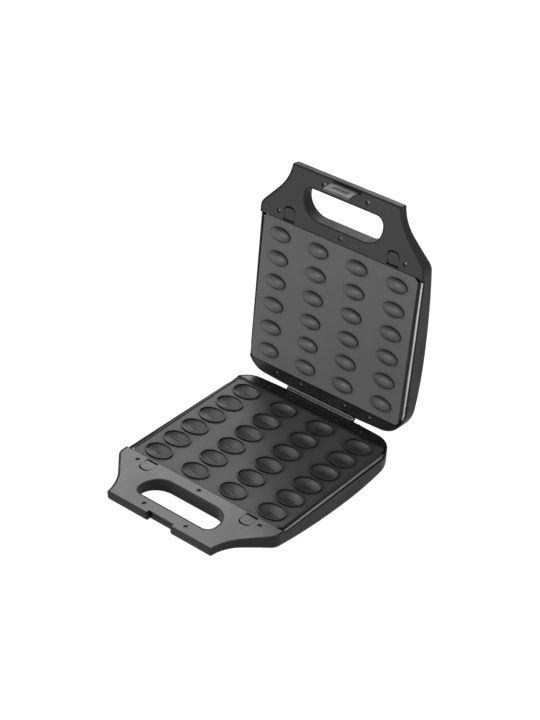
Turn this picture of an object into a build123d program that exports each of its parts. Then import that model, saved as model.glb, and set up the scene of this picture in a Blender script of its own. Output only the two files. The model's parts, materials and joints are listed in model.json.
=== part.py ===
from build123d import *
import os
from math import cos, radians, sin, tan

# Multi-plate waffle maker, lid open on its stop. Lengths in millimetres, angles in degrees.
#
# Both halves are drawn in one local frame: x to the right, y back from the first row of
# forms, z out of the cooking face, with the parting plane at z = 0 and the casing below it.
# The base stands in that frame. The lid is the same half turned over onto the base and
# swung open about the hinge pin.

# Grid of forms
columns = 4
rows = 6
pitch_x = 60.0
pitch_y = 32.8

# Cooking plates
plate_side_margin = 28.8
plate_front_margin = 20.1
plate_rear_margin = 19.9
plate_corner_chamfer = 5.4
plate_rear_radius = 6.0
plate_edge = 0.5
plate_skin = 2.6
plate_skirt_wall = 2.2
plate_skirt_drop = 5.5
base_plate_sink = 1.8
plate_bead = 1.6
plate_bead_height = 1.0
half_gap = 0.25

# Forms in the base plate: a raised rim round a bowl with a low ridge along its floor
bowl_length = 36.4
bowl_width = 26.2
bowl_depth = 4.8
bowl_step = 2.2
bowl_ridge = 0.6
bowl_ridge_width = 1.4
bowl_wall = 1.8
rim_wall = 0.9
rim_flare = 0.5

# Forms on the lid plate: smooth domes that reach into the bowls
dome_length = 30.0
dome_width = 18.5
dome_height = 3.4
dome_step = 1.5
dome_root = 1.0

# Casings
casing_side_margin = 6.9
casing_wall = 2.4
casing_draft = 2.0
casing_edge_radius = 5.0
hinge_deck = 18.2
rear_bow = 4.9
rear_corner_radius = 33.0
elbow_radius = 17.3
elbow_setback = 13.6
neck_width = 198.0
neck_setback = 43.0
handle_front_width = 164.5
handle_front_radius = 2.0
handle_length = 79.9
rim_chamfer = 0.4
handle_depth = 13.7
handle_root_depth = 14.5
shoulder_depth = 21.4
belly_depth = 31.5
belly_shift = 10.2
heel_depth = 27.7
rear_depth = 17.5
floor_overrun = 1.0

# Dip in the casing rims beside the plates
dip_front = 3.6
dip_rear = 6.6
dip_end_radius = 14.0
dip_start_gap = 0.3
dip_overrun = 2.0

# Panels round the plates
panel_thickness = 2.6
panel_edge_gap = 0.35
panel_plate_gap = 0.5
panel_ring_gap = 0.35

# Handle opening
grip_width = 119.2
grip_depth = 39.4
grip_front_wall = 23.0
grip_rear_radius = 25.0
grip_front_radius = 11.8
grip_ring_wall = 1.4

# Panel screws and bosses
screw_shank = 3.0
screw_head = 5.6
screw_head_height = 1.4
screw_length = 8.0
screw_bore_gap = 0.02
counterbore = 6.0
screw_clearance_hole = 3.4
collar_diameter = 8.4
collar_height = 2.0
screw_seat = 1.0
boss_diameter = 6.4
handle_screw_inset = 12.4
handle_screw_spread = 66.0
shoulder_screw_spread = 193.8
shoulder_screw_setback = 10.5
middle_screw_setback = 7.5
hinge_screw_setback = 8.0
hinge_screw_spreads = (70.8, 150.0)

# Plate release buttons
button_spread = 159.2
window_width = 17.7
window_length = 20.4
window_end_radius = 7.0
window_plate_gap = 1.5
button_gap = 0.45
button_travel = 2.4
button_sink = 0.2
button_step = 0.5
button_step_length = 3.6
carriage_overhang = 2.6
carriage_thickness = 1.7
slide_gap = 0.15
tongue_width = 12.0
tongue_thickness = 0.85
tongue_reach = 3.2
lug_reach = 2.8
lug_thickness = 1.75
lug_width = 14.0
rail_width = 2.0
spring_lug = 1.6
spring_lug_width = 10.4
spring_lug_drop = 5.6
leaf_thickness = 0.4
leaf_height = 4.0
leaf_width = 9.0
leaf_gap = 0.1
anchor_rib = 1.6
spring_space = 1.2

# Rear tabs that hold the plates under the hinge panels
tab_spread = 130.0
tab_width = 16.0
tab_reach = 3.0

# Heat reflector trays and heating elements
tray_side_gap = 0.4
tray_well_gap = 0.3
tray_sheet = 1.0
tray_draft = 4.0
tray_lip = 2.6
tray_flange_gap = 0.6
tray_flange_inset = 6.5
tray_floor = 17.3
tray_post = 8.0
tray_post_spread = 180.0
tray_post_rows = (30.0, 130.0)
element_tube = 6.0
element_drop = 12.6
element_spread = 120.0
element_front = 8.0
element_bend = 18.0
element_tail = 5.0
element_hole_gap = 0.4
saddle_width = 9.0
saddle_length = 4.0
saddle_gap = 0.1
saddle_rows = (30.0, 130.0)

# Hinge
hinge_back = 1.6
barrel_diameter = 10.6
pin_diameter = 4.0
pin_gap = 0.05
pin_recess = 1.0
long_knuckle = 33.0
short_knuckle = 19.2
knuckle_gap = 0.2
recess_gap = 0.6
knuckle_web = 3.6
knuckle_root = 7.0
open_angle = 97.13
stop_reach = 10.5
stop_gap = 0.3
stop_underside = 1.5

# Latch
latch_width = 38.6
latch_thickness = 2.6
latch_reach = 19.6
latch_tail = 9.9
latch_hook_top = 3.6
latch_hook_height = 2.2
latch_hook = 1.3
latch_tip_bevel = 0.8
latch_lean = 6.0
latch_face_setback = 3.9
latch_pivot_drop = 5.5
latch_pivot_setback = 5.8
latch_boss = 5.4
latch_pin = 3.0
latch_pin_gap = 0.05
latch_slot_width = 40.0
latch_slot_depth = 7.1
latch_wall_relief = 1.6
latch_wall_skin = 2.0
latch_pocket_depth = 11.0
latch_swing_room = 11.4
notch_depth = 8.5
catch_wall = 2.0
catch_drop = 5.6
cheek_wall = 2.0
grip_rib = 0.5
grip_rib_pitch = 2.0
grip_ribs = 3
grip_rib_length = 24.0
grip_rib_setback = 7.0
latch_spring_thickness = 0.5
latch_spring_width = 12.0
latch_spring_bend = 5.8
latch_spring_gap = 0.3
latch_spring_touch = 9.2

# Feet, lamps, cord gland and inner parts
stand_height = 36.0
foot_bottom_diameter = 15.0
foot_pad = 3.0
foot_pad_diameter = 14.0
front_foot_spread = 174.0
front_foot_y = 9.0
rear_foot_spread = 150.0
rear_foot_y = 168.0
lamp_diameter = 8.0
lamp_flange = 10.0
lamp_flange_height = 0.8
lamp_spread = 24.0
lamp_gap = 0.05
lamp_depth = 5.0
gland_x = 61.0
gland_drop = 9.0
gland_diameter = 9.0
gland_bore = 6.0
gland_length = 9.0
gland_flange = 12.0
gland_flange_thickness = 1.6
gland_gap = 0.05
thermostat_diameter = 16.0
thermostat_height = 8.0
fuse_diameter = 5.0
fuse_length = 22.0
fuse_bracket = 1.2
fuse_bracket_share = 0.33
foot_stud = 8.0
foot_stud_length = 2.5
foot_stud_gap = 0.05
leg_root = 18.0
leg_draft = 5.0
gland_collar = 3.0

# Sketches that only cut reach past the halves by this much
cut_height = 60.0
cut_width = 300.0

# Corners are picked within this distance of their place
near = 1.0

# Places that follow from the sizes above
plate_half_width = (columns - 1) * pitch_x / 2 + plate_side_margin
plate_front = -plate_front_margin
plate_rear = (rows - 1) * pitch_y + plate_rear_margin
plate_mid = (plate_front + plate_rear) / 2
plate_length = plate_rear - plate_front
skirt_bottom = -half_gap - plate_skirt_drop
base_plate_face = -half_gap - base_plate_sink
lid_plate_face = -half_gap
casing_half_width = plate_half_width + casing_side_margin
casing_front = plate_front - handle_length
casing_rear = plate_rear + hinge_deck
casing_rear_side = casing_rear - rear_bow
elbow_y = plate_front - elbow_setback
neck_y = plate_front - neck_setback
hinge_y = casing_rear + hinge_back
panel_underside = -half_gap - panel_thickness
handle_panel_rear = plate_front - panel_plate_gap
hinge_panel_front = plate_rear + panel_plate_gap
grip_front = casing_front + grip_front_wall
grip_rear = grip_front + grip_depth
window_rear = plate_front - window_plate_gap
window_front = window_rear - window_length
cap_front = window_front + button_travel
cap_rear = window_rear - button_travel
carriage_top = panel_underside - slide_gap
carriage_bottom = carriage_top - carriage_thickness
anchor_y = cap_front - button_travel - spring_space - anchor_rib / 2
leaf_top = carriage_bottom - slide_gap
pin_length = 2 * (long_knuckle + short_knuckle - pin_recess)
lamp_seat = belly_depth - lamp_flange_height
lamp_y = plate_mid - belly_shift
lamp_points = [(-lamp_spread / 2, lamp_y), (lamp_spread / 2, lamp_y)]
foot_points = [
    (-front_foot_spread / 2, front_foot_y),
    (front_foot_spread / 2, front_foot_y),
    (-rear_foot_spread / 2, rear_foot_y),
    (rear_foot_spread / 2, rear_foot_y),
]


def grid_points(pitch_a, pitch_b, count_a, count_b, shift_y):
    """Centres of a rectangular pattern whose rows start at shift_y."""
    return [
        ((a - (count_a - 1) / 2) * pitch_a, shift_y + b * pitch_b)
        for a in range(count_a)
        for b in range(count_b)
    ]


form_points = grid_points(pitch_x, pitch_y, columns, rows, 0.0)


def both_sides(spread, rows_y):
    """Points left and right of the middle, at every given y."""
    return [(side * spread / 2, y) for side in (-1, 1) for y in rows_y]


handle_screws = [
    (-shoulder_screw_spread / 2, plate_front - shoulder_screw_setback),
    (shoulder_screw_spread / 2, plate_front - shoulder_screw_setback),
    (0.0, plate_front - middle_screw_setback),
    (-handle_screw_spread / 2, casing_front + handle_screw_inset),
    (handle_screw_spread / 2, casing_front + handle_screw_inset),
]
hinge_screws = [
    (side * spread / 2, plate_rear + hinge_screw_setback)
    for spread in hinge_screw_spreads
    for side in (-1, 1)
]


def casing_outline(inset):
    """Plan outline of a half at the parting plane, drawn in by the inset."""
    front_half = handle_front_width / 2
    neck = (neck_width / 2, neck_y)
    elbow = (casing_half_width, elbow_y)
    with BuildSketch() as outline:
        with BuildLine():
            Line((0, casing_front), (front_half, casing_front))
            waist = Line(neck, elbow)
            TangentArc(neck, (front_half, casing_front), tangent=(waist % 0) * -1)
            Line(elbow, (casing_half_width, casing_rear_side))
            mirror(about=Plane.YZ)
            ThreePointArc(
                (casing_half_width, casing_rear_side),
                (0, casing_rear),
                (-casing_half_width, casing_rear_side),
            )
        make_face()
        for corner_y, radius in (
            (casing_rear_side, rear_corner_radius),
            (elbow_y, elbow_radius),
            (casing_front, handle_front_radius),
        ):
            corners = outline.vertices().filter_by(lambda v: abs(v.Y - corner_y) < near < abs(v.X))
            fillet(corners, radius)
        if inset:
            offset(amount=-inset)
    return outline.sketch


def casing_block(inset, lift, edge_radius):
    """Drafted body from the parting face down to the curved floor."""
    with BuildPart() as block:
        with BuildSketch(Plane.XY.offset(-half_gap)):
            add(casing_outline(inset))
        extrude(amount=-belly_depth - floor_overrun)
        draft(block.faces().filter_by(Axis.Z, reverse=True), Plane.XY.offset(-half_gap), -casing_draft)
        floor_start = casing_front - floor_overrun
        floor_end = casing_rear + floor_overrun
        with BuildSketch(Plane.YZ.offset(-cut_width / 2)):
            with BuildLine():
                floor = Spline(
                    (floor_start, lift - handle_depth),
                    (plate_front - handle_length / 2, lift - handle_root_depth),
                    (plate_front, lift - shoulder_depth),
                    (plate_mid - belly_shift, lift - belly_depth),
                    (plate_rear - plate_rear_margin, lift - heel_depth),
                    (floor_end, lift - rear_depth),
                )
                Polyline(floor @ 1, (floor_end, floor_overrun), (floor_start, floor_overrun), floor @ 0)
            make_face()
        extrude(amount=cut_width, mode=Mode.INTERSECT)
        if edge_radius:
            lowest = block.faces().sort_by(Axis.Z)[0]
            fillet(lowest.edges(), edge_radius)
    return block.part


def grip_outline(grow):
    """Handle opening, grown by the given distance."""
    with BuildSketch() as grip:
        with Locations((0, (grip_front + grip_rear) / 2)):
            Rectangle(grip_width, grip_depth)
        fillet(grip.vertices().group_by(Axis.Y)[-1], grip_rear_radius)
        fillet(grip.vertices().group_by(Axis.Y)[0], grip_front_radius)
        if grow:
            offset(amount=grow)
    return grip.sketch


outer_block = casing_block(0.0, 0.0, casing_edge_radius)
inner_block = casing_block(casing_wall, casing_wall, casing_edge_radius - casing_wall)


def rear_recesses(spans):
    """Round clearances in the rear edge for the knuckles in the given spans."""
    with BuildPart() as recesses:
        for start, end in spans:
            with BuildSketch(Plane.YZ.offset(start - knuckle_gap)):
                with Locations((hinge_y, 0)):
                    Circle(barrel_diameter / 2 + recess_gap)
            extrude(amount=end - start + 2 * knuckle_gap)
    return recesses.part


own_spans = [(-long_knuckle, 0.0), (long_knuckle, long_knuckle + short_knuckle)]
other_spans = [(-end, -start) for start, end in own_spans]
barrel_span = (-long_knuckle - short_knuckle, long_knuckle + short_knuckle)


def plain_casing():
    """Hollow half shell with its grip opening, screw bosses, tray posts and button rails."""
    with BuildPart() as casing:
        add(outer_block)
        chamfer(casing.faces().sort_by(Axis.Z)[-1].edges(), rim_chamfer)
        add(inner_block, mode=Mode.SUBTRACT)

        # Ring wall round the handle opening
        with BuildPart(mode=Mode.PRIVATE) as ring:
            with BuildSketch(Plane.XY.offset(-half_gap)):
                add(grip_outline(grip_ring_wall))
            extrude(amount=-belly_depth)
            add(outer_block, mode=Mode.INTERSECT)
        add(ring.part)
        with BuildSketch(Plane.XY.offset(cut_height)):
            add(grip_outline(0.0))
        extrude(amount=-2 * cut_height, mode=Mode.SUBTRACT)

        # Bosses, posts and rails stand on the floor and end under what they carry
        with BuildPart(mode=Mode.PRIVATE) as inner_parts:
            boss_top = panel_underside - collar_height
            with BuildSketch(Plane.XY.offset(boss_top)):
                with Locations(*handle_screws, *hinge_screws):
                    Circle(boss_diameter / 2)
            extrude(amount=-belly_depth)
            with BuildSketch(Plane.XY.offset(-tray_floor)):
                with Locations(*both_sides(tray_post_spread, tray_post_rows)):
                    Circle(tray_post / 2)
            extrude(amount=-belly_depth)
            with BuildSketch(Plane.XY.offset(carriage_bottom - slide_gap)):
                rail_inset = window_width - 2 * rail_width
                for rail_spread in (button_spread - rail_inset, button_spread + rail_inset):
                    with Locations(*both_sides(rail_spread, [(window_front + cap_rear) / 2])):
                        Rectangle(rail_width, cap_rear - window_front)
            extrude(amount=-belly_depth)
            with BuildSketch(Plane.XY.offset(panel_underside - slide_gap)):
                with Locations(*both_sides(button_spread, [anchor_y])):
                    Rectangle(window_width, anchor_rib)
            extrude(amount=-belly_depth)
            add(outer_block, mode=Mode.INTERSECT)
        add(inner_parts.part)
        with Locations(*[(x, y, boss_top) for x, y in handle_screws + hinge_screws]):
            Hole(screw_shank / 2 + screw_bore_gap, depth=screw_length)

        # Dip in the side rims that leaves the plate edge and tray open to view
        dip_start = plate_front + dip_start_gap
        with BuildSketch(Plane.YZ):
            with BuildLine():
                slope = Line(
                    (dip_start, -half_gap - dip_front),
                    (plate_rear - dip_end_radius, -half_gap - dip_rear),
                )
                rise = TangentArc(slope @ 1, (plate_rear + dip_overrun, dip_overrun), tangent=slope % 1)
                Polyline(rise @ 1, (dip_start, dip_overrun), slope @ 0)
            make_face()
        extrude(amount=cut_width / 2, both=True, mode=Mode.SUBTRACT)
        with BuildSketch(Plane.XY.offset(-half_gap)):
            for start, end in own_spans:
                with Locations(((start + end) / 2, casing_rear)):
                    Rectangle(end - start + 2 * knuckle_gap, 2 * knuckle_root)
        extrude(amount=-knuckle_web - knuckle_gap, mode=Mode.SUBTRACT)
        add(rear_recesses([barrel_span]), mode=Mode.SUBTRACT)

        # Well that clears the plate and tray at the rounded rear corners
        well_gap = tray_side_gap + tray_well_gap
        with BuildSketch(Plane.XY.offset(cut_height)):
            with Locations((0, plate_mid)):
                RectangleRounded(
                    2 * (plate_half_width + well_gap),
                    plate_length + 2 * well_gap,
                    plate_rear_radius + well_gap,
                )
        extrude(amount=-tray_floor - cut_height, mode=Mode.SUBTRACT)

        # Cheeks and rear wall of the latch pocket
        with BuildPart(mode=Mode.PRIVATE) as pocket:
            with BuildSketch(Plane.XY.offset(panel_underside)):
                with Locations((0, casing_front)):
                    Rectangle(latch_slot_width + 2 * cheek_wall, 2 * (latch_swing_room + cheek_wall))
                    Rectangle(latch_slot_width, 2 * latch_swing_room, mode=Mode.SUBTRACT)
            extrude(amount=-belly_depth)
            add(outer_block, mode=Mode.INTERSECT)
        add(pocket.part)
    return casing.part


half_shell = plain_casing()


def latch_face(rise):
    """Where the latch's leaning front face stands at a height above the lid's parting plane."""
    return casing_front + latch_face_setback + rise * tan(radians(latch_lean))


def base_casing():
    """Lower shell: notch for the latch, legs under it, cord gland hole at the back."""
    with BuildPart() as casing:
        add(half_shell)

        # Notch that takes the latch, open at the front and below. Its rear wall stops short of
        # the panel, and the latch hooks through that gap under the panel's edge.
        with BuildSketch(Plane.XY.offset(cut_height)):
            with Locations((0, casing_front)):
                Rectangle(latch_slot_width, 2 * notch_depth)
        extrude(amount=-2 * cut_height, mode=Mode.SUBTRACT)
        with BuildPart(mode=Mode.PRIVATE) as wall:
            with BuildSketch(Plane.XY.offset(-catch_drop)):
                with Locations((0, casing_front + notch_depth + catch_wall / 2)):
                    Rectangle(latch_slot_width, catch_wall)
            extrude(amount=-belly_depth)
            add(outer_block, mode=Mode.INTERSECT)
        add(wall.part)

        # Legs
        with BuildPart(mode=Mode.PRIVATE) as legs:
            with BuildSketch(Plane.XY.offset(foot_pad - stand_height)):
                with Locations(*foot_points):
                    Circle(foot_bottom_diameter / 2)
            extrude(amount=stand_height - foot_pad - leg_root, taper=-leg_draft)
            add(inner_block, mode=Mode.SUBTRACT)
        add(legs.part)
        with BuildSketch(Plane.XY.offset(foot_pad - stand_height)):
            with Locations(*foot_points):
                Circle(foot_stud / 2 + foot_stud_gap)
        extrude(amount=foot_stud_length + foot_stud_gap, mode=Mode.SUBTRACT)

        # Cord gland hole in the rear wall
        with BuildSketch(Plane.XZ.offset(-casing_rear)):
            with Locations((gland_x, -gland_drop)):
                Circle(gland_diameter / 2 + gland_gap)
        extrude(amount=hinge_deck, both=True, mode=Mode.SUBTRACT)
    return casing.part


def lid_casing():
    """Upper shell: the same half with the latch pivot in its pocket and two lamp holes."""
    with BuildPart() as casing:
        add(half_shell)
        with BuildSketch(Plane.XY.offset(-latch_wall_skin)):
            with Locations((0, casing_front + (latch_wall_relief + latch_swing_room) / 2)):
                Rectangle(latch_slot_width, latch_swing_room - latch_wall_relief)
        extrude(amount=latch_wall_skin - latch_pocket_depth, mode=Mode.SUBTRACT)
        with BuildSketch(Plane.YZ):
            with Locations((casing_front + latch_pivot_setback, -latch_pivot_drop)):
                Circle(latch_pin / 2 + latch_pin_gap)
        extrude(amount=latch_slot_width / 2 + cheek_wall, both=True, mode=Mode.SUBTRACT)
        with BuildSketch(Plane.XY.offset(-lamp_seat)):
            with Locations(*lamp_points):
                Circle(lamp_flange / 2 + lamp_gap)
        extrude(amount=-belly_depth, mode=Mode.SUBTRACT)
        with BuildSketch(Plane.XY.offset(-lamp_seat + belly_depth / 2)):
            with Locations(*lamp_points):
                Circle(lamp_diameter / 2 + lamp_gap)
        extrude(amount=-belly_depth, mode=Mode.SUBTRACT)
    return casing.part


def window_outline(grow, length_cut):
    """Release button window: square at the plate, round towards the handle."""
    with BuildSketch() as window:
        with Locations((0, (window_front + window_rear) / 2)):
            Rectangle(window_width + 2 * grow, window_length - length_cut)
        fillet(window.vertices().group_by(Axis.Y)[0], window_end_radius + grow)
    return window.sketch


def screw_collars(points):
    """Collars under a panel, one round each screw."""
    with BuildPart() as collars:
        with BuildSketch(Plane.XY.offset(panel_underside)):
            with Locations(*points):
                Circle(collar_diameter / 2)
        extrude(amount=-collar_height)
    return collars.part


def screw_bores(points):
    """Clearance holes with counterbores, to be cut from a panel."""
    collar_bottom = panel_underside - collar_height
    with BuildPart() as bores:
        with BuildSketch(Plane.XY.offset(collar_bottom)):
            with Locations(*points):
                Circle(screw_clearance_hole / 2)
        extrude(amount=screw_seat)
        with BuildSketch(Plane.XY.offset(collar_bottom + screw_seat)):
            with Locations(*points):
                Circle(counterbore / 2)
        extrude(amount=collar_height + panel_thickness - screw_seat)
    return bores.part


def handle_panel():
    """Flat cover of the handle, from the front rim to the plate."""
    with BuildPart() as panel:
        with BuildSketch(Plane.XY.offset(-half_gap)):
            add(casing_outline(casing_wall + panel_edge_gap))
            with Locations((0, handle_panel_rear)):
                Rectangle(cut_width, cut_width, align=(Align.CENTER, Align.MIN), mode=Mode.SUBTRACT)
            add(grip_outline(grip_ring_wall + panel_ring_gap), mode=Mode.SUBTRACT)
            with Locations((0, casing_front)):
                Rectangle(latch_slot_width, 2 * latch_slot_depth, mode=Mode.SUBTRACT)
            with Locations(*both_sides(button_spread, [0])):
                add(window_outline(0.0, 0.0), mode=Mode.SUBTRACT)
        extrude(amount=-panel_thickness)
        add(screw_collars(handle_screws))
        add(screw_bores(handle_screws), mode=Mode.SUBTRACT)
    return panel.part


def hinge_panel():
    """Cover of the hinge deck with this half's knuckles and the heels that stop the lid."""
    turn = radians(open_angle)
    slope = tan(radians(casing_draft))
    wall_y = -hinge_back * cos(turn)
    wall_z = hinge_back * sin(turn) - stop_gap
    wall_fall = (slope * sin(turn) + cos(turn)) / (sin(turn) - slope * cos(turn))
    with BuildPart() as panel:
        with BuildSketch(Plane.XY.offset(-half_gap)):
            add(casing_outline(casing_wall + panel_edge_gap))
            with Locations((0, hinge_panel_front)):
                Rectangle(cut_width, cut_width, align=(Align.CENTER, Align.MAX), mode=Mode.SUBTRACT)
        extrude(amount=-panel_thickness)
        add(screw_collars(hinge_screws))
        add(rear_recesses(other_spans), mode=Mode.SUBTRACT)
        for start, end in own_spans:
            with BuildSketch(Plane.YZ.offset(start + knuckle_gap)):
                with Locations((hinge_y, 0)):
                    Circle(barrel_diameter / 2)
                with BuildLine():
                    Polyline(
                        (casing_rear - knuckle_root, -half_gap),
                        (hinge_y, -half_gap),
                        (hinge_y, -half_gap - knuckle_web),
                        (casing_rear - knuckle_root, -half_gap - knuckle_web),
                        close=True,
                    )
                make_face()
                with BuildLine():
                    Polyline(
                        (hinge_y + wall_y, wall_z),
                        (hinge_y + stop_reach, wall_z + wall_fall * (stop_reach - wall_y)),
                        (hinge_y + stop_reach, -stop_underside),
                        (hinge_y + wall_y, -stop_underside),
                        close=True,
                    )
                make_face()
                with Locations((hinge_y, 0)):
                    Circle(pin_diameter / 2 + pin_gap, mode=Mode.SUBTRACT)
            extrude(amount=end - start - 2 * knuckle_gap)
        add(screw_bores(hinge_screws), mode=Mode.SUBTRACT)
    return panel.part


def plate_outline(inset):
    """Plan outline of a cooking plate, drawn in by the inset."""
    with BuildSketch() as outline:
        with Locations((0, plate_mid)):
            Rectangle(2 * plate_half_width, plate_length)
        chamfer(outline.vertices().group_by(Axis.Y)[0], plate_corner_chamfer)
        fillet(outline.vertices().group_by(Axis.Y)[-1], plate_rear_radius)
        if inset:
            offset(amount=-inset, kind=Kind.INTERSECTION)
    return outline.sketch


def blank_plate(face, bead):
    """Cast plate with its skirt, front lugs for the release buttons and rear tabs."""
    with BuildPart() as plate:
        with BuildSketch(Plane.XY.offset(face)):
            add(plate_outline(0.0))
        extrude(amount=-plate_skin)
        if bead:
            with BuildSketch(Plane.XY.offset(face)):
                add(plate_outline(0.0))
                add(plate_outline(plate_bead), mode=Mode.SUBTRACT)
            extrude(amount=bead)
        chamfer(plate.faces().sort_by(Axis.Z)[-1].outer_wire().edges(), plate_edge)
        with BuildSketch(Plane.XY.offset(face - plate_skin)):
            add(plate_outline(0.0))
            add(plate_outline(plate_skirt_wall), mode=Mode.SUBTRACT)
        extrude(amount=skirt_bottom + plate_skin - face)
        with BuildSketch(Plane.XY.offset(skirt_bottom)):
            with Locations(*both_sides(button_spread, [plate_front])):
                Rectangle(lug_width, 2 * lug_reach)
            with Locations(*both_sides(tab_spread, [plate_rear])):
                Rectangle(tab_width, 2 * tab_reach)
            add(plate_outline(plate_skirt_wall / 2), mode=Mode.SUBTRACT)
        extrude(amount=lug_thickness)
    return plate.part


def lens(length, width, height, step):
    """Oval form on the plane z = 0: an upright edge of the given step under a smooth cap."""
    cap_height = height - step
    ball_width = ((width / 2) ** 2 / cap_height + cap_height) / 2
    ball_length = ball_width * length / width
    with BuildPart() as form:
        with BuildPart(mode=Mode.PRIVATE) as ball:
            with BuildSketch(Plane.XY):
                Ellipse(ball_length, ball_width)
                Rectangle(2 * ball_length, ball_width, align=(Align.CENTER, Align.MAX), mode=Mode.SUBTRACT)
            revolve(axis=Axis.X)
        with BuildSketch(Plane.XY):
            Ellipse(length / 2, width / 2)
        extrude(amount=height)
        add(ball.part.moved(Location((0, 0, height - ball_width))), mode=Mode.INTERSECT)
    return form.part


def bowl():
    """Space of one form: a lens turned down, with a low ridge along its floor."""
    floor_z = -half_gap - bowl_depth
    with BuildPart() as space:
        turned_down = Location((0, 0, -half_gap), (180, 0, 0))
        add(lens(bowl_length, bowl_width, bowl_depth, bowl_step).moved(turned_down))
        with BuildPart(mode=Mode.PRIVATE) as ridge:
            with BuildSketch(Plane.YZ.offset(-bowl_length / 2)):
                with BuildLine():
                    Polyline(
                        (-bowl_ridge_width / 2, floor_z),
                        (0, floor_z + bowl_ridge),
                        (bowl_ridge_width / 2, floor_z),
                        close=True,
                    )
                make_face()
            extrude(amount=bowl_length)
        add(ridge.part, mode=Mode.SUBTRACT)
    return space.part


def base_plate():
    """Lower plate: a rimmed bowl at every place of the grid."""
    with BuildPart() as plate:
        add(blank_plate(base_plate_face, plate_bead_height))
        with BuildPart(mode=Mode.PRIVATE) as rim:
            with BuildSketch(Plane.XY.offset(-half_gap)):
                Ellipse(bowl_length / 2 + rim_wall, bowl_width / 2 + rim_wall)
            with BuildSketch(Plane.XY.offset(base_plate_face)):
                Ellipse(bowl_length / 2 + rim_wall + rim_flare, bowl_width / 2 + rim_wall + rim_flare)
            loft(ruled=True)
            with BuildSketch(Plane.XY.offset(base_plate_face)):
                Ellipse(bowl_length / 2 + bowl_wall, bowl_width / 2 + bowl_wall)
            extrude(amount=-half_gap - bowl_depth - bowl_wall - base_plate_face)
        with Locations(*form_points):
            add(rim.part)
        form = bowl()
        with Locations(*form_points):
            add(form, mode=Mode.SUBTRACT)
    return plate.part


def lid_plate():
    """Upper plate: a smooth dome at every place of the grid."""
    with BuildPart() as plate:
        add(blank_plate(lid_plate_face, 0.0))
        dome = lens(dome_length, dome_width, dome_height + dome_root, dome_step + dome_root)
        with Locations(*[(x, y, lid_plate_face - dome_root) for x, y in form_points]):
            add(dome)
    return plate.part


def tray():
    """Sheet metal pan under a plate, with its lip, side flanges, element holes and saddles."""
    half_width = plate_half_width + tray_side_gap
    length = plate_length + 2 * tray_side_gap
    fall = tan(radians(tray_draft)) * (tray_floor + skirt_bottom)
    floor_top = tray_sheet - tray_floor
    corner = plate_rear_radius + tray_side_gap
    with BuildPart() as pan:
        with BuildSketch(Plane.XY.offset(skirt_bottom)):
            with Locations((0, plate_mid)):
                RectangleRounded(2 * half_width, length, corner)
        with BuildSketch(Plane.XY.offset(-tray_floor)):
            with Locations((0, plate_mid)):
                RectangleRounded(2 * (half_width - fall), length - 2 * fall, corner)
        loft(ruled=True)
        with BuildPart(mode=Mode.PRIVATE) as hollow:
            with BuildSketch(Plane.XY.offset(skirt_bottom - tray_sheet)):
                with Locations((0, plate_mid)):
                    RectangleRounded(
                        2 * (half_width - tray_sheet), length - 2 * tray_sheet, corner - tray_sheet
                    )
            with BuildSketch(Plane.XY.offset(floor_top)):
                with Locations((0, plate_mid)):
                    inner_fall = fall + tray_sheet
                    RectangleRounded(
                        2 * (half_width - inner_fall), length - 2 * inner_fall, corner - tray_sheet
                    )
            loft(ruled=True)
            with BuildSketch(Plane.XY.offset(skirt_bottom)):
                with Locations((0, plate_mid)):
                    Rectangle(2 * (half_width - tray_lip), length - 2 * tray_lip)
            extrude(amount=-2 * tray_sheet)
        add(hollow.part, mode=Mode.SUBTRACT)

        # Flange that closes the gap to the casing walls and shows in the dips
        with BuildSketch(Plane.XY.offset(skirt_bottom)):
            add(casing_outline(casing_wall + tray_flange_gap))
            with Locations((0, plate_mid)):
                Rectangle(cut_width, plate_length - 2 * tray_flange_inset, mode=Mode.INTERSECT)
                Rectangle(2 * (half_width - tray_sheet), cut_width, mode=Mode.SUBTRACT)
        extrude(amount=-tray_sheet)
        with BuildSketch(Plane.XZ.offset(-plate_rear)):
            with Locations(*both_sides(element_spread, [-element_drop])):
                Circle(element_tube / 2 + element_hole_gap)
        extrude(amount=tray_lip * 2, both=True, mode=Mode.SUBTRACT)
        with BuildSketch(Plane.XY.offset(floor_top)):
            with Locations(*both_sides(element_spread, saddle_rows)):
                Rectangle(saddle_width, saddle_length)
        extrude(amount=tray_floor - tray_sheet - element_drop - element_tube / 2 - saddle_gap)
    return pan.part


def element():
    """Heating element: one bent tube under the forms, its tails through the tray."""
    half = element_spread / 2
    tail_y = plate_rear + element_tail
    with BuildPart() as tube:
        with BuildLine(Plane.XY.offset(-element_drop)):
            FilletPolyline(
                (-half, tail_y),
                (-half, element_front),
                (half, element_front),
                (half, tail_y),
                radius=element_bend,
            )
        with BuildSketch(Plane((-half, tail_y, -element_drop), x_dir=(1, 0, 0), z_dir=(0, -1, 0))):
            Circle(element_tube / 2)
        sweep()
    return tube.part


def screws():
    """Panel screws of one half, head down in their counterbores."""
    seat = -half_gap - panel_thickness - collar_height + screw_seat
    points = handle_screws + hinge_screws
    with BuildPart() as fasteners:
        with BuildSketch(Plane.XY.offset(seat)):
            with Locations(*points):
                Circle(screw_head / 2)
        extrude(amount=screw_head_height)
        with BuildSketch(Plane.XY.offset(seat)):
            with Locations(*points):
                Circle(screw_shank / 2)
        extrude(amount=-screw_length)
    return fasteners.part


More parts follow.
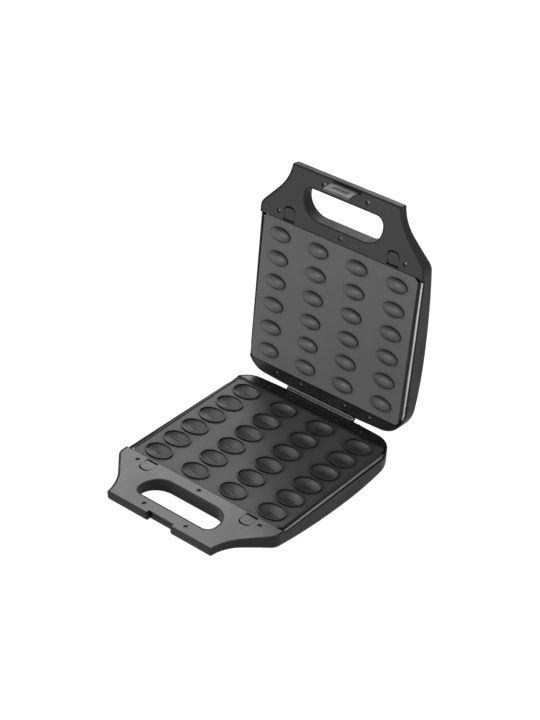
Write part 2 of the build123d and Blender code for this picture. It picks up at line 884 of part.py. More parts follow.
def release_button(side):
    """Finger cap in its window, carriage under the panel, tongue over the plate's lug."""
    x = side * button_spread / 2
    cap_top = -half_gap - button_sink
    with BuildPart() as button:
        with BuildSketch(Plane.XY.offset(cap_top)):
            with Locations((x, 0)):
                add(window_outline(-button_gap, 2 * button_travel))
        extrude(amount=carriage_top - cap_top)
        with BuildSketch(Plane.XY.offset(cap_top)):
            with Locations((x, cap_rear)):
                Rectangle(window_width, 2 * button_step_length)
        extrude(amount=-button_step, mode=Mode.SUBTRACT)
        with BuildSketch(Plane.XY.offset(carriage_top)):
            with Locations((x, cap_rear)):
                carriage_length = (cap_rear - cap_front) / 2
                Rectangle(
                    window_width + 2 * carriage_overhang, carriage_length, align=(Align.CENTER, Align.MAX)
                )
            with Locations((x, cap_front)):
                Rectangle(spring_lug_width, 2 * carriage_length, align=(Align.CENTER, Align.MIN))
        extrude(amount=-carriage_thickness)
        with BuildSketch(Plane.XY.offset(carriage_top)):
            with Locations((x, cap_front)):
                Rectangle(spring_lug_width, spring_lug, align=(Align.CENTER, Align.MIN))
        extrude(amount=-carriage_thickness - spring_lug_drop)
        with BuildSketch(Plane.XY.offset(carriage_top)):
            with Locations((x, cap_rear)):
                Rectangle(tongue_width, 2 * tongue_reach)
        extrude(amount=-tongue_thickness)
    return button.part


def release_spring(side):
    """Bowed leaf between the lug under the button and its anchor rib."""
    x = side * button_spread / 2
    rest_y = anchor_y + anchor_rib / 2 + leaf_gap
    crown_y = cap_front - leaf_gap
    with BuildPart() as leaf:
        with BuildSketch(Plane.XY.offset(leaf_top)):
            with BuildLine():
                inner = ThreePointArc(
                    (x - leaf_width / 2, rest_y),
                    (x, crown_y - leaf_thickness),
                    (x + leaf_width / 2, rest_y),
                )
                outer = ThreePointArc(
                    (x - leaf_width / 2, rest_y + leaf_thickness),
                    (x, crown_y),
                    (x + leaf_width / 2, rest_y + leaf_thickness),
                )
                Line(inner @ 0, outer @ 0)
                Line(inner @ 1, outer @ 1)
            make_face()
        extrude(amount=-leaf_height)
    return leaf.part


def hinge_pin():
    """Steel rod through the knuckles of both halves."""
    with BuildPart() as pin:
        with BuildSketch(Plane.YZ.offset(-pin_length / 2)):
            with Locations((hinge_y, 0)):
                Circle(pin_diameter / 2)
        extrude(amount=pin_length)
    return pin.part


def latch():
    """Latch plate on the lid: leans back to its tip and hooks under the base panel's edge."""
    lean = radians(latch_lean)
    face = Plane(
        (-latch_width / 2, casing_front + latch_face_setback, 0),
        x_dir=(0, sin(lean), cos(lean)),
        z_dir=(1, 0, 0),
    )
    pivot = (casing_front + latch_pivot_setback, -latch_pivot_drop)
    with BuildPart() as hook:
        with BuildSketch(face):
            with BuildLine():
                Polyline(
                    (-latch_tail, 0),
                    (latch_reach - latch_tip_bevel, 0),
                    (latch_reach, -latch_tip_bevel),
                    (latch_reach, -latch_thickness),
                    (latch_hook_top + latch_hook_height, -latch_thickness),
                    (latch_hook_top, -latch_thickness - latch_hook),
                    (latch_hook_top, -latch_thickness),
                    (-latch_tail, -latch_thickness),
                    close=True,
                )
            make_face()
        extrude(amount=latch_width)
        with BuildSketch(Plane.YZ.offset(-latch_width / 2)):
            with Locations(pivot):
                Circle(latch_boss / 2)
        extrude(amount=latch_width)
        with BuildSketch(face.offset(latch_width / 2 - grip_rib_length / 2)):
            for rib in range(grip_ribs):
                with Locations((latch_reach - grip_rib_setback - rib * grip_rib_pitch, 0)):
                    Circle(grip_rib)
        extrude(amount=grip_rib_length)
        with BuildSketch(Plane.YZ.offset(-latch_width / 2)):
            with Locations(pivot):
                Circle(latch_pin / 2 + latch_pin_gap)
        extrude(amount=latch_width, mode=Mode.SUBTRACT)
    return hook.part


def latch_pin_rod():
    """Pin of the latch, held in the cheeks of its pocket."""
    half_length = latch_slot_width / 2 + cheek_wall
    with BuildPart() as pin:
        with BuildSketch(Plane.YZ.offset(-half_length)):
            with Locations((casing_front + latch_pivot_setback, -latch_pivot_drop)):
                Circle(latch_pin / 2)
        extrude(amount=2 * half_length)
    return pin.part


def latch_spring():
    """Bent strip on the pocket's rear wall whose free end pushes the latch's tail forward."""
    wall_y = casing_front + latch_swing_room
    top = panel_underside - latch_spring_gap
    tail_y = latch_face(-latch_spring_touch) + latch_thickness / cos(radians(latch_lean)) + latch_spring_gap
    with BuildPart() as strip:
        with BuildSketch(Plane.YZ.offset(-latch_spring_width / 2)):
            with BuildLine():
                Polyline(
                    (wall_y, top),
                    (wall_y - latch_spring_thickness, top),
                    (wall_y - latch_spring_thickness, -latch_spring_bend),
                    (tail_y, -latch_spring_touch),
                    (tail_y, -latch_spring_touch - latch_spring_thickness),
                    (wall_y, -latch_spring_bend - latch_spring_thickness),
                    close=True,
                )
            make_face()
        extrude(amount=latch_spring_width)
    return strip.part


def foot(point):
    """Rubber pad with a stud that presses into its leg."""
    with BuildPart() as pad:
        with BuildSketch(Plane.XY.offset(-stand_height)):
            with Locations(point):
                Circle(foot_pad_diameter / 2)
        extrude(amount=foot_pad)
        with BuildSketch(Plane.XY.offset(-stand_height)):
            with Locations(point):
                Circle(foot_stud / 2)
        extrude(amount=foot_pad + foot_stud_length)
    return pad.part


def lamp(point):
    """Lens of a signal lamp, seated in the lid's outer face."""
    with BuildPart() as lens:
        with BuildSketch(Plane.XY.offset(-lamp_seat)):
            with Locations(point):
                Circle(lamp_flange / 2)
        extrude(amount=-lamp_flange_height - belly_depth + lamp_seat)
        with BuildSketch(Plane.XY.offset(-lamp_seat)):
            with Locations(point):
                Circle(lamp_diameter / 2)
        extrude(amount=lamp_depth)
    return lens.part


def cord_gland():
    """Bushing where the supply cord enters the rear wall."""
    bow_radius = (casing_half_width ** 2 + rear_bow ** 2) / (2 * rear_bow)
    inner_edge = gland_x - gland_flange / 2
    wall_y = casing_rear - bow_radius + (bow_radius ** 2 - inner_edge ** 2) ** 0.5
    top_drop = gland_drop - gland_flange / 2
    flange_y = wall_y - top_drop * tan(radians(casing_draft)) + gland_gap
    mouth = Plane((gland_x, flange_y, -gland_drop), x_dir=(1, 0, 0), z_dir=(0, 1, 0))
    with BuildPart() as gland:
        with BuildSketch(mouth):
            Circle(gland_flange / 2)
        extrude(amount=gland_flange_thickness)
        with BuildSketch(mouth.offset(-gland_length)):
            Circle(gland_diameter / 2)
        extrude(amount=gland_length + gland_flange_thickness + gland_collar)
        with BuildSketch(mouth.offset(-gland_length)):
            Circle(gland_bore / 2)
        extrude(amount=gland_length + gland_flange_thickness + gland_collar, mode=Mode.SUBTRACT)
    return gland.part


def thermostat():
    """Round thermostat on the tray floor between the middle columns."""
    with BuildPart() as puck:
        with BuildSketch(Plane.XY.offset(tray_sheet - tray_floor)):
            with Locations((0, plate_mid)):
                Circle(thermostat_diameter / 2)
        extrude(amount=thermostat_height)
    return puck.part


def thermal_fuse():
    """Small cylindrical cut-out held by its bracket on the tray floor."""
    floor_top = tray_sheet - tray_floor
    centre_z = floor_top + fuse_bracket + fuse_diameter / 2
    with BuildPart() as fuse:
        with BuildSketch(Plane.XZ.offset(-plate_mid - fuse_length / 2)):
            with Locations((0, centre_z)):
                Circle(fuse_diameter / 2)
        extrude(amount=fuse_length)
        with BuildSketch(Plane.XY.offset(floor_top)):
            with Locations((0, plate_mid)):
                Rectangle(fuse_diameter, fuse_length * fuse_bracket_share)
        extrude(amount=fuse_bracket + fuse_diameter / 2)
    return fuse.part


# Where the halves stand: the base upright, the lid turned over onto it and swung open
turned_over = Location((0, 0, 0), (0, 180, 0))
swung_open = (
    Location((0, hinge_y, 0)) * Location((0, 0, 0), (-open_angle, 0, 0)) * Location((0, -hinge_y, 0))
)
lid_shell = lid_casing()
rearmost = lid_shell.moved(swung_open * turned_over).bounding_box().max.Y
base_place = Location((0, -(casing_front + rearmost) / 2, stand_height))
lid_place = base_place * swung_open * turned_over

base_pieces = {
    "base_casing": base_casing(),
    "base_handle_panel": handle_panel(),
    "base_hinge_panel": hinge_panel(),
    "base_plate": base_plate(),
    "base_tray": tray(),
    "base_heating_element": element(),
    "base_screws": screws(),
    "base_release_button_left": release_button(-1),
    "base_release_button_right": release_button(1),
    "base_release_spring_left": release_spring(-1),
    "base_release_spring_right": release_spring(1),
    "hinge_pin": hinge_pin(),
    "foot_front_left": foot(foot_points[0]),
    "foot_front_right": foot(foot_points[1]),
    "foot_rear_left": foot(foot_points[2]),
    "foot_rear_right": foot(foot_points[3]),
    "cord_gland": cord_gland(),
    "thermostat": thermostat(),
}
lid_pieces = {
    "lid_casing": lid_shell,
    "lid_handle_panel": handle_panel(),
    "lid_hinge_panel": hinge_panel(),
    "lid_plate": lid_plate(),
    "lid_tray": tray(),
    "lid_heating_element": element(),
    "lid_screws": screws(),
    "lid_release_button_left": release_button(1),
    "lid_release_button_right": release_button(-1),
    "lid_release_spring_left": release_spring(1),
    "lid_release_spring_right": release_spring(-1),
    "latch": latch(),
    "latch_pin": latch_pin_rod(),
    "latch_spring": latch_spring(),
    "power_lamp": lamp(lamp_points[0]),
    "ready_lamp": lamp(lamp_points[1]),
    "thermal_fuse": thermal_fuse(),
}

os.makedirs("parts", exist_ok=True)
for pieces, place in ((base_pieces, base_place), (lid_pieces, lid_place)):
    for name, piece in pieces.items():
        with BuildPart() as placed:
            add(piece.moved(place))
        placed.part.label = name
        export_step(placed.part, f"parts/{name}.step")

# The place of the hinge axis, which the record needs
print("hinge axis y, z", base_place.position.Y + hinge_y, stand_height)
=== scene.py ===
import json
import math
import bpy
from mathutils import Matrix, Vector

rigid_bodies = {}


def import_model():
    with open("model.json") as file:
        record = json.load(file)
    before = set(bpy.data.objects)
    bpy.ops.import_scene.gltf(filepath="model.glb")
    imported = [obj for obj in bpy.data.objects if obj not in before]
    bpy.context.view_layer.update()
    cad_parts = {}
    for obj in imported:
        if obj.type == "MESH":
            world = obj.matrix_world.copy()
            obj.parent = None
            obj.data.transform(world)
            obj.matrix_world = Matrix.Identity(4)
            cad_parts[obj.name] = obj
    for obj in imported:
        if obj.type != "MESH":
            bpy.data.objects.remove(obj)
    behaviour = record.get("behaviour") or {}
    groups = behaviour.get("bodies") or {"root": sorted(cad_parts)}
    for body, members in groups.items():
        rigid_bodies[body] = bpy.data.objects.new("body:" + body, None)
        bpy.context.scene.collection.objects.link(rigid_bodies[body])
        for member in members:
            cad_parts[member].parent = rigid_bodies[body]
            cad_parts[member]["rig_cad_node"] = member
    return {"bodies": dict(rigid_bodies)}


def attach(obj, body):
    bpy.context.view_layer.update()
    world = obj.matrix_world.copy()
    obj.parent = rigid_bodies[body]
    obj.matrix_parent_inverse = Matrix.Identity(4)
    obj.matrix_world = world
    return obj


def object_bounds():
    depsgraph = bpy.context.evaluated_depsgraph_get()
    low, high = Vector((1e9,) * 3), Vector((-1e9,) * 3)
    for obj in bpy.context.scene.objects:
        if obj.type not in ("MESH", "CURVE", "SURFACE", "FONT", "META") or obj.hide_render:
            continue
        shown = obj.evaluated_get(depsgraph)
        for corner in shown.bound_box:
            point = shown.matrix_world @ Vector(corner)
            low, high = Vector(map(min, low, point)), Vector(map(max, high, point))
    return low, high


# Looks of the multi-plate waffle maker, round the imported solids. Lengths are in metres.
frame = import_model()
# Only the solids and the bodies they hang on are kept of what the scene holds at the start
for leftover in list(bpy.context.scene.objects):
    if "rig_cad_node" not in leftover and leftover not in frame["bodies"].values():
        bpy.data.objects.remove(leftover)
cad_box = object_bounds()

# Camera of the photograph, fitted to it. Lens and sensor are in millimetres.
CAMERA_PLACE = Vector((1.1873, -1.4055, 1.4401))
CAMERA_TARGET = Vector((-0.1113, 0.1594, 0.0360))
CAMERA_ROLL = math.radians(0.567)
CAMERA_LENS = 94.39
CAMERA_SENSOR = 36.0

# Light of the world on the object, and the floor: its size, how far it lies under the feet,
# how white it glows where it is seen, and how much of the light it throws back
WORLD_LIGHT = 0.11
FLOOR_SIZE = 14.0
FLOOR_DROP = 0.0002
FLOOR_GLOW = 0.92
FLOOR_COLOUR = 0.50

# Light boxes, as name: place, point it faces, width, height, power in watts
SOFT_BOXES = {
    "key_box": ((-1.25, 1.45, 1.5), (0.0, 0.0, 0.05), 1.1, 0.9, 13.5),
    "key_side_box": ((-1.9, 1.0, 1.5), (0.0, 0.0, 0.05), 0.9, 0.9, 2.6),
    "back_box": ((-0.7, 1.7, 1.6), (0.0, 0.0, 0.05), 0.9, 0.9, 4.5),
    "front_box": ((-0.55, -2.05, 0.45), (0.0, 0.05, 0.15), 0.9, 0.7, 28.0),
    "rear_box": ((-0.5, 2.2, 0.7), (0.0, 0.1, 0.2), 1.2, 0.8, 20.0),
    "left_box": ((-2.2, -0.2, 0.6), (0.0, 0.0, 0.1), 1.0, 0.8, 6.0),
    "top_left_box": ((-1.2, 0.05, 1.8), (0.0, 0.0, 0.05), 0.8, 0.8, 12.0),
    "right_box": ((1.9, -0.5, 0.45), (0.0, -0.05, 0.05), 1.0, 0.8, 14.0),
}
# Those that show only as highlights
HIGHLIGHT_BOXES = ("key_box", "key_side_box", "back_box", "top_left_box")


def add_camera():
    """Camera at the photograph's place, with its small roll."""
    data = bpy.data.cameras.new("photo_camera")
    data.sensor_width = CAMERA_SENSOR
    data.lens = CAMERA_LENS
    camera = bpy.data.objects.new("photo_camera", data)
    bpy.context.scene.collection.objects.link(camera)
    back = (CAMERA_PLACE - CAMERA_TARGET).normalized()
    right = Vector((0, 0, 1)).cross(back).normalized()
    up = back.cross(right)
    turn = math.cos(CAMERA_ROLL)
    lean = math.sin(CAMERA_ROLL)
    rolled_right = right * turn + up * lean
    rolled_up = up * turn - right * lean
    axes = Matrix((rolled_right, rolled_up, back)).transposed()
    camera.matrix_world = Matrix.Translation(CAMERA_PLACE) @ axes.to_4x4()
    bpy.context.scene.camera = camera


def add_lights():
    """The light boxes, some of them only for highlights."""
    for name, (place, aim, width, height, power) in SOFT_BOXES.items():
        data = bpy.data.lights.new(name, "AREA")
        data.shape = "RECTANGLE"
        data.size = width
        data.size_y = height
        data.energy = power
        light = bpy.data.objects.new(name, data)
        bpy.context.scene.collection.objects.link(light)
        light.location = place
        light.visible_diffuse = name not in HIGHLIGHT_BOXES
        light.rotation_mode = "QUATERNION"
        light.rotation_quaternion = (Vector(aim) - Vector(place)).to_track_quat("-Z", "Y")


def seen_factor(nodes, links):
    """1 for rays from the camera, mirrors and glass, 0 for light on the object."""
    path = nodes.new("ShaderNodeLightPath")
    joined = path.outputs["Is Camera Ray"]
    for name in ("Is Glossy Ray", "Is Transmission Ray"):
        larger = nodes.new("ShaderNodeMath")
        larger.operation = "MAXIMUM"
        links.new(joined, larger.inputs[0])
        links.new(path.outputs[name], larger.inputs[1])
        joined = larger.outputs[0]
    return joined


def white_world():
    """White where it is seen, dimmer as light."""
    world = bpy.data.worlds.new("studio")
    bpy.context.scene.world = world
    world.use_nodes = True
    nodes = world.node_tree.nodes
    links = world.node_tree.links
    background = nodes["Background"]
    background.inputs["Color"].default_value = (1, 1, 1, 1)
    strength = nodes.new("ShaderNodeMapRange")
    strength.inputs["To Min"].default_value = WORLD_LIGHT
    strength.inputs["To Max"].default_value = 1.0
    links.new(seen_factor(nodes, links), strength.inputs["Value"])
    links.new(strength.outputs["Result"], background.inputs["Strength"])


def pale_floor():
    """Floor that is white where it is seen and keeps a light shadow of the object."""
    half = FLOOR_SIZE / 2
    corners = [(-half, -half, 0), (half, -half, 0), (half, half, 0), (-half, half, 0)]
    mesh = bpy.data.meshes.new("floor")
    mesh.from_pydata(corners, [], [(0, 1, 2, 3)])
    floor = bpy.data.objects.new("floor", mesh)
    bpy.context.scene.collection.objects.link(floor)
    floor.location.z = cad_box[0].z - FLOOR_DROP
    material = bpy.data.materials.new("floor")
    material.use_nodes = True
    nodes = material.node_tree.nodes
    links = material.node_tree.links
    nodes.remove(nodes["Principled BSDF"])
    lit = nodes.new("ShaderNodeBsdfDiffuse")
    lit.inputs["Color"].default_value = (FLOOR_COLOUR, FLOOR_COLOUR, FLOOR_COLOUR, 1)
    glow = nodes.new("ShaderNodeEmission")
    strength = nodes.new("ShaderNodeMath")
    strength.operation = "MULTIPLY"
    strength.inputs[1].default_value = FLOOR_GLOW
    links.new(seen_factor(nodes, links), strength.inputs[0])
    links.new(strength.outputs[0], glow.inputs["Strength"])
    both = nodes.new("ShaderNodeAddShader")
    links.new(lit.outputs[0], both.inputs[0])
    links.new(glow.outputs[0], both.inputs[1])
    links.new(both.outputs[0], nodes["Material Output"].inputs["Surface"])
    mesh.materials.append(material)


# The part of a noise's values that is spread over a finish's range, and its levels of detail
NOISE_LOW = 0.3
NOISE_HIGH = 0.7
PATCH_DETAIL = 3.0
GRAIN_DETAIL = 2.0

# Painted shade in corners, read from ambient occlusion: how open a corner is where the painted
# shade is darkest, and where it ends
CREVICE_SAMPLES = 16
CREVICE_CLOSED = 0.50
CREVICE_OPEN = 0.98

# Each plate's normal with the lid open, then the cosines of how far a face is turned from it
# where the painted shade on steep faces is darkest and where it starts
BASE_STEEP = ((0.0, 0.0, 1.0), 0.78, 0.96)
LID_STEEP = ((0.0, -0.9923, 0.1241), 0.930, 0.999)
# Height that parts the base's plate from the lid's
LID_FROM = 0.040
# The share of the lid's fuller look that the base's bowls get
BASE_FULLER = 0.25

# Finishes. Each has:
#   colour, and patches: how far they lighten or darken it
#   rough and rough_spread: the roughness and how far the patches change it
#   patch_size, grain_size and grain_height, in metres
#   metallic, ior, specular and transmission, as the shader has them
#   stretch: the scale of patches and grain along each axis, for brushed metal
#   speckle: how far the grain lightens or darkens the colour
#   corner_shade: how dark the colour is painted in corners narrower than crevice_size, a painted
#       shade
#   steep: how dark a plate's steep faces are painted, a painted shade
#   fuller: how far the shading of a plate's forms leans outwards
PLAIN = {
    "metallic": 0.0,
    "ior": 1.5,
    "specular": 0.5,
    "transmission": 0.0,
    "stretch": (1.0, 1.0, 1.0),
    "speckle": 0.0,
    "corner_shade": 0.0,
    "steep": 0.0,
    "fuller": 0.0,
}
FINISHES = {
    "casing_plastic": {
        "colour": (0.021, 0.021, 0.0214), "patches": 0.08, "rough": 0.45, "rough_spread": 0.08,
        "patch_size": 0.060, "grain_size": 0.0006, "grain_height": 0.00003, "specular": 0.10,
        "corner_shade": 0.9, "crevice_size": 0.006,
    },
    "panel_plastic": {
        "colour": (0.010, 0.010, 0.0103), "patches": 0.08, "rough": 0.27, "rough_spread": 0.03,
        "patch_size": 0.045, "grain_size": 0.0005, "grain_height": 0.00002, "specular": 0.38,
        "corner_shade": 0.9, "crevice_size": 0.003,
    },
    "latch_plastic": {
        "colour": (0.080, 0.080, 0.081), "patches": 0.06, "rough": 0.50, "rough_spread": 0.05,
        "patch_size": 0.015, "grain_size": 0.0005, "grain_height": 0.00002,
    },
    "nonstick_plate": {
        "colour": (0.122, 0.122, 0.123), "patches": 0.06, "rough": 0.36, "rough_spread": 0.03,
        "patch_size": 0.080, "grain_size": 0.0008, "grain_height": 0.00001, "specular": 0.16,
        "speckle": 0.12, "corner_shade": 0.92, "crevice_size": 0.0065, "steep": 0.85, "fuller": 0.9,
    },
    "reflector_steel": {
        "colour": (0.60, 0.60, 0.61), "patches": 0.08, "rough": 0.46, "rough_spread": 0.10,
        "patch_size": 0.030, "grain_size": 0.0006, "grain_height": 0.00001, "metallic": 1.0,
        "stretch": (1.0, 0.06, 1.0), "corner_shade": 0.7, "crevice_size": 0.002,
    },
    "element_steel": {
        "colour": (0.20, 0.17, 0.15), "patches": 0.35, "rough": 0.48, "rough_spread": 0.12,
        "patch_size": 0.020, "grain_size": 0.0005, "grain_height": 0.00002, "metallic": 1.0,
    },
    "screw_steel": {
        "colour": (0.10, 0.10, 0.105), "patches": 0.20, "rough": 0.40, "rough_spread": 0.10,
        "patch_size": 0.003, "grain_size": 0.0003, "grain_height": 0.00001, "metallic": 1.0,
    },
    "spring_steel": {
        "colour": (0.50, 0.50, 0.52), "patches": 0.10, "rough": 0.26, "rough_spread": 0.08,
        "patch_size": 0.004, "grain_size": 0.0003, "grain_height": 0.00001, "metallic": 1.0,
    },
    "pin_steel": {
        "colour": (0.58, 0.58, 0.60), "patches": 0.08, "rough": 0.22, "rough_spread": 0.08,
        "patch_size": 0.006, "grain_size": 0.0004, "grain_height": 0.00001, "metallic": 1.0,
        "stretch": (0.08, 1.0, 1.0),
    },
    "thermostat_metal": {
        "colour": (0.48, 0.47, 0.45), "patches": 0.12, "rough": 0.38, "rough_spread": 0.08,
        "patch_size": 0.006, "grain_size": 0.0004, "grain_height": 0.00001, "metallic": 1.0,
    },
    "fuse_metal": {
        "colour": (0.62, 0.60, 0.56), "patches": 0.12, "rough": 0.30, "rough_spread": 0.08,
        "patch_size": 0.006, "grain_size": 0.0004, "grain_height": 0.00001, "metallic": 1.0,
    },
    "foot_rubber": {
        "colour": (0.016, 0.016, 0.016), "patches": 0.20, "rough": 0.78, "rough_spread": 0.10,
        "patch_size": 0.008, "grain_size": 0.0007, "grain_height": 0.00005,
    },
    "red_lens": {
        "colour": (0.50, 0.012, 0.010), "patches": 0.05, "rough": 0.12, "rough_spread": 0.04,
        "patch_size": 0.004, "grain_size": 0.0010, "grain_height": 0.00001, "ior": 1.58,
        "transmission": 0.55,
    },
    "green_lens": {
        "colour": (0.015, 0.32, 0.045), "patches": 0.05, "rough": 0.12, "rough_spread": 0.04,
        "patch_size": 0.004, "grain_size": 0.0010, "grain_height": 0.00001, "ior": 1.58,
        "transmission": 0.55,
    },
}


def noise(nodes, links, source, size, detail):
    """Noise whose patches are about the given size in metres, stretched by its source."""
    texture = nodes.new("ShaderNodeTexNoise")
    texture.inputs["Scale"].default_value = 1 / size
    texture.inputs["Detail"].default_value = detail
    links.new(source, texture.inputs["Vector"])
    return texture.outputs["Fac"]


def ranged(nodes, links, source, from_low, from_high, to_low, to_high):
    """A value that goes from one range to another, and stays at its ends."""
    step = nodes.new("ShaderNodeMapRange")
    step.inputs["From Min"].default_value = from_low
    step.inputs["From Max"].default_value = from_high
    step.inputs["To Min"].default_value = to_low
    step.inputs["To Max"].default_value = to_high
    links.new(source, step.inputs["Value"])
    return step.outputs["Result"]


def spread(nodes, links, source, low, high):
    """The middle of a noise, spread over a range."""
    return ranged(nodes, links, source, NOISE_LOW, NOISE_HIGH, low, high)


def scaled(nodes, links, a, b):
    """Product of two values."""
    product = nodes.new("ShaderNodeMath")
    product.operation = "MULTIPLY"
    links.new(a, product.inputs[0])
    links.new(b, product.inputs[1])
    return product.outputs[0]


def painted_corner_shade(nodes, links, size, darkest):
    """1 on open faces, darker in corners narrower than a size: painted shade from ambient
    occlusion.
    """
    corners = nodes.new("ShaderNodeAmbientOcclusion")
    corners.samples = CREVICE_SAMPLES
    corners.inputs["Distance"].default_value = size
    return ranged(nodes, links, corners.outputs["AO"], CREVICE_CLOSED, CREVICE_OPEN, darkest, 1.0)


def on_lid(nodes, links, place):
    """0 on the base, 1 on the lid."""
    axes = nodes.new("ShaderNodeSeparateXYZ")
    links.new(place.outputs["Object"], axes.inputs["Vector"])
    higher = nodes.new("ShaderNodeMath")
    higher.operation = "GREATER_THAN"
    higher.inputs[1].default_value = LID_FROM
    links.new(axes.outputs["Z"], higher.inputs[0])
    return higher.outputs[0]


def steep_face_shade(nodes, links, place, normal, dark_from, clear_from, darkest):
    """1 on faces that lie along a plate's normal, darker on its steep ones: painted shade."""
    dot = nodes.new("ShaderNodeVectorMath")
    dot.operation = "DOT_PRODUCT"
    dot.inputs[1].default_value = normal
    links.new(place.outputs["Normal"], dot.inputs[0])
    return ranged(nodes, links, dot.outputs["Value"], dark_from, clear_from, darkest, 1.0)


def plate_steep_shade(nodes, links, place, lid, darkest):
    """The painted shade of steep faces, on the base's plate or on the lid's."""
    both = nodes.new("ShaderNodeMix")
    links.new(lid, both.inputs["Factor"])
    links.new(steep_face_shade(nodes, links, place, *BASE_STEEP, darkest), both.inputs["A"])
    links.new(steep_face_shade(nodes, links, place, *LID_STEEP, darkest), both.inputs["B"])
    return both.outputs["Result"]


def vector_step(nodes, links, operation, *sources):
    """One step of vector arithmetic."""
    step = nodes.new("ShaderNodeVectorMath")
    step.operation = operation
    for socket, source in zip(step.inputs, sources):
        links.new(source, socket)
    return step


def fuller_normal(nodes, links, place, lid, factor):
    """Normal that leans further from the plate's, so that shallow forms look fuller."""
    plate = nodes.new("ShaderNodeMix")
    plate.data_type = "VECTOR"
    sockets = {socket.identifier: socket for socket in plate.inputs}
    sockets["A_Vector"].default_value = BASE_STEEP[0]
    sockets["B_Vector"].default_value = LID_STEEP[0]
    links.new(lid, sockets["Factor_Float"])
    along = next(socket for socket in plate.outputs if socket.identifier == "Result_Vector")
    normal = place.outputs["Normal"]
    part = vector_step(nodes, links, "PROJECT", normal, along).outputs["Vector"]
    lean = vector_step(nodes, links, "SUBTRACT", normal, part).outputs["Vector"]
    more = vector_step(nodes, links, "SCALE", lean)
    amount = ranged(nodes, links, lid, 0.0, 1.0, factor * BASE_FULLER, factor)
    links.new(amount, more.inputs["Scale"])
    whole = vector_step(nodes, links, "ADD", normal, more.outputs["Vector"]).outputs["Vector"]
    turned = nodes.new("ShaderNodeVectorTransform")
    turned.vector_type = "NORMAL"
    turned.convert_from = "OBJECT"
    turned.convert_to = "WORLD"
    links.new(whole, turned.inputs["Vector"])
    return turned.outputs["Vector"]


def finish_material(material, given):
    """Gives a material its patches, grain and gloss, with painted shade in corners and on a
    plate's steep faces.
    """
    look = {**PLAIN, **given}
    material.use_nodes = True
    nodes = material.node_tree.nodes
    links = material.node_tree.links
    nodes.clear()
    output = nodes.new("ShaderNodeOutputMaterial")
    shader = nodes.new("ShaderNodeBsdfPrincipled")
    links.new(shader.outputs["BSDF"], output.inputs["Surface"])
    shader.inputs["Metallic"].default_value = look["metallic"]
    shader.inputs["IOR"].default_value = look["ior"]
    shader.inputs["Specular IOR Level"].default_value = look["specular"]
    shader.inputs["Transmission Weight"].default_value = look["transmission"]

    place = nodes.new("ShaderNodeTexCoord")
    stretch = nodes.new("ShaderNodeMapping")
    stretch.inputs["Scale"].default_value = look["stretch"]
    links.new(place.outputs["Object"], stretch.inputs["Vector"])
    vector = stretch.outputs["Vector"]
    patches = noise(nodes, links, vector, look["patch_size"], PATCH_DETAIL)
    grain = noise(nodes, links, vector, look["grain_size"], GRAIN_DETAIL)
    lid = on_lid(nodes, links, place) if look["steep"] or look["fuller"] else None

    shade = spread(nodes, links, patches, 1 - look["patches"], 1 + look["patches"])
    if look["speckle"]:
        specks = spread(nodes, links, grain, 1 - look["speckle"], 1 + look["speckle"])
        shade = scaled(nodes, links, shade, specks)
    # Painted shade: the colour darkens in corners, where ambient occlusion finds less open space
    if look["corner_shade"]:
        corners = painted_corner_shade(nodes, links, look["crevice_size"], 1 - look["corner_shade"])
        shade = scaled(nodes, links, shade, corners)
    # Painted shade: a plate's steep faces get a darker colour, as if in shade
    if look["steep"]:
        steep = plate_steep_shade(nodes, links, place, lid, 1 - look["steep"])
        shade = scaled(nodes, links, shade, steep)
    tint = nodes.new("ShaderNodeVectorMath")
    tint.operation = "SCALE"
    tint.inputs[0].default_value = look["colour"]
    links.new(shade, tint.inputs["Scale"])
    links.new(tint.outputs["Vector"], shader.inputs["Base Color"])

    roughest = look["rough"] + look["rough_spread"]
    smoothest = look["rough"] - look["rough_spread"]
    rough = spread(nodes, links, patches, roughest, smoothest)
    links.new(rough, shader.inputs["Roughness"])

    bump = nodes.new("ShaderNodeBump")
    bump.inputs["Distance"].default_value = look["grain_height"]
    links.new(grain, bump.inputs["Height"])
    if look["fuller"]:
        fuller = fuller_normal(nodes, links, place, lid, look["fuller"])
        links.new(fuller, bump.inputs["Normal"])
    links.new(bump.outputs["Normal"], shader.inputs["Normal"])


# Places taken from the part's source: how far back its halves are moved, the height of the face
# where they meet, and the hinge that the lid turns on, with its opening
HALF_SHIFT = -0.0771095
SPLIT_HEIGHT = 0.036
HINGE_Y = 0.2037
LID_TURN = math.radians(97.13)

# Heads of the panel screws, in a half's own axes: their places, their radius, and the heights
# of foot and top against the face where the halves meet. The crown is how much higher the
# middle is than the rim. Then the size of the cross recess and the cells across a head.
SCREW_PLACES = (
    (-0.0969, -0.0306), (0.0969, -0.0306), (0.0, -0.0276), (-0.0330, -0.0876), (0.0330, -0.0876),
    (-0.0354, 0.1919), (0.0354, 0.1919), (-0.0750, 0.1919), (0.0750, 0.1919),
)
HEAD_RADIUS = 0.0026
HEAD_FOOT = -0.0024
HEAD_TOP = -0.0010
HEAD_CROWN = 0.0005
CROSS_WIDTH = 0.0008
CROSS_LENGTH = 0.0032
CROSS_DEPTH = 0.0008
HEAD_CELLS = 24


def base_place(x, y, z):
    """Where a point of a half ends up in the base."""
    return (x, y + HALF_SHIFT, z + SPLIT_HEIGHT)


def lid_place(x, y, z):
    """Where a point of a half ends up in the open lid."""
    out = y - HINGE_Y
    cos, sin = math.cos(LID_TURN), math.sin(LID_TURN)
    return (-x, HINGE_Y + out * cos - z * sin + HALF_SHIFT, -out * sin - z * cos + SPLIT_HEIGHT)


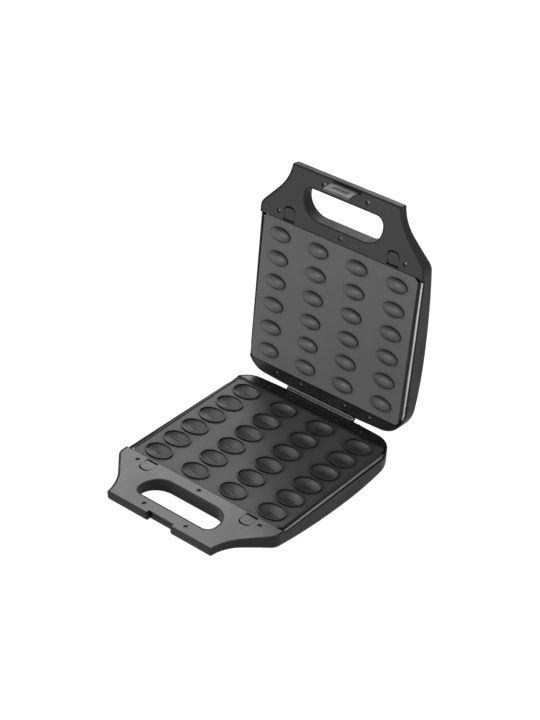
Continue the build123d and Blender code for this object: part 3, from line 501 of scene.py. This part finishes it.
def head_height(x, y):
    """Height of a screw head at a point of its face, with its cross recess."""
    crown = HEAD_TOP - HEAD_CROWN * (x * x + y * y) / HEAD_RADIUS ** 2
    near, far = sorted((abs(x), abs(y)))
    if near < CROSS_WIDTH / 2 and far < CROSS_LENGTH / 2:
        return crown - CROSS_DEPTH
    return crown


def head_mesh(points, faces, centre_x, centre_y):
    """Adds one screw head: its domed face, its rim and its foot."""
    rows = []
    for row in range(HEAD_CELLS + 1):
        v = 2 * row / HEAD_CELLS - 1
        line = []
        for cell in range(HEAD_CELLS + 1):
            u = 2 * cell / HEAD_CELLS - 1
            # A square grid, drawn into a round one
            x = HEAD_RADIUS * u * math.sqrt(1 - v * v / 2)
            y = HEAD_RADIUS * v * math.sqrt(1 - u * u / 2)
            line.append(len(points))
            points.append((centre_x + x, centre_y + y, head_height(x, y)))
        rows.append(line)
    for low, high in zip(rows, rows[1:]):
        for cell in range(HEAD_CELLS):
            faces.append((low[cell], low[cell + 1], high[cell + 1], high[cell]))
    left = [line[0] for line in rows]
    right = [line[-1] for line in rows]
    rim = rows[0] + right[1:] + rows[-1][-2::-1] + left[-2:0:-1]
    foot = []
    for index in rim:
        foot.append(len(points))
        points.append((points[index][0], points[index][1], HEAD_FOOT))
    for i in range(len(rim)):
        faces.append((rim[i - 1], foot[i - 1], foot[i], rim[i]))
    faces.append(tuple(reversed(foot)))


def add_screw_heads(name, body, place):
    """The screw heads of one half, which move with it."""
    points = []
    faces = []
    for x, y in SCREW_PLACES:
        head_mesh(points, faces, x, y)
    mesh = bpy.data.meshes.new(name)
    mesh.from_pydata([place(*point) for point in points], [], faces)
    mesh.materials.append(bpy.data.materials["screw_steel"])
    heads = bpy.data.objects.new(name, mesh)
    bpy.context.scene.collection.objects.link(heads)
    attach(heads, body)


add_camera()
add_lights()
white_world()
pale_floor()
for slot_name, finish in FINISHES.items():
    finish_material(bpy.data.materials[slot_name], finish)

add_screw_heads("base_screw_heads", "base", base_place)
add_screw_heads("lid_screw_heads", "lid", lid_place)

bpy.context.scene.view_settings.view_transform = "Standard"
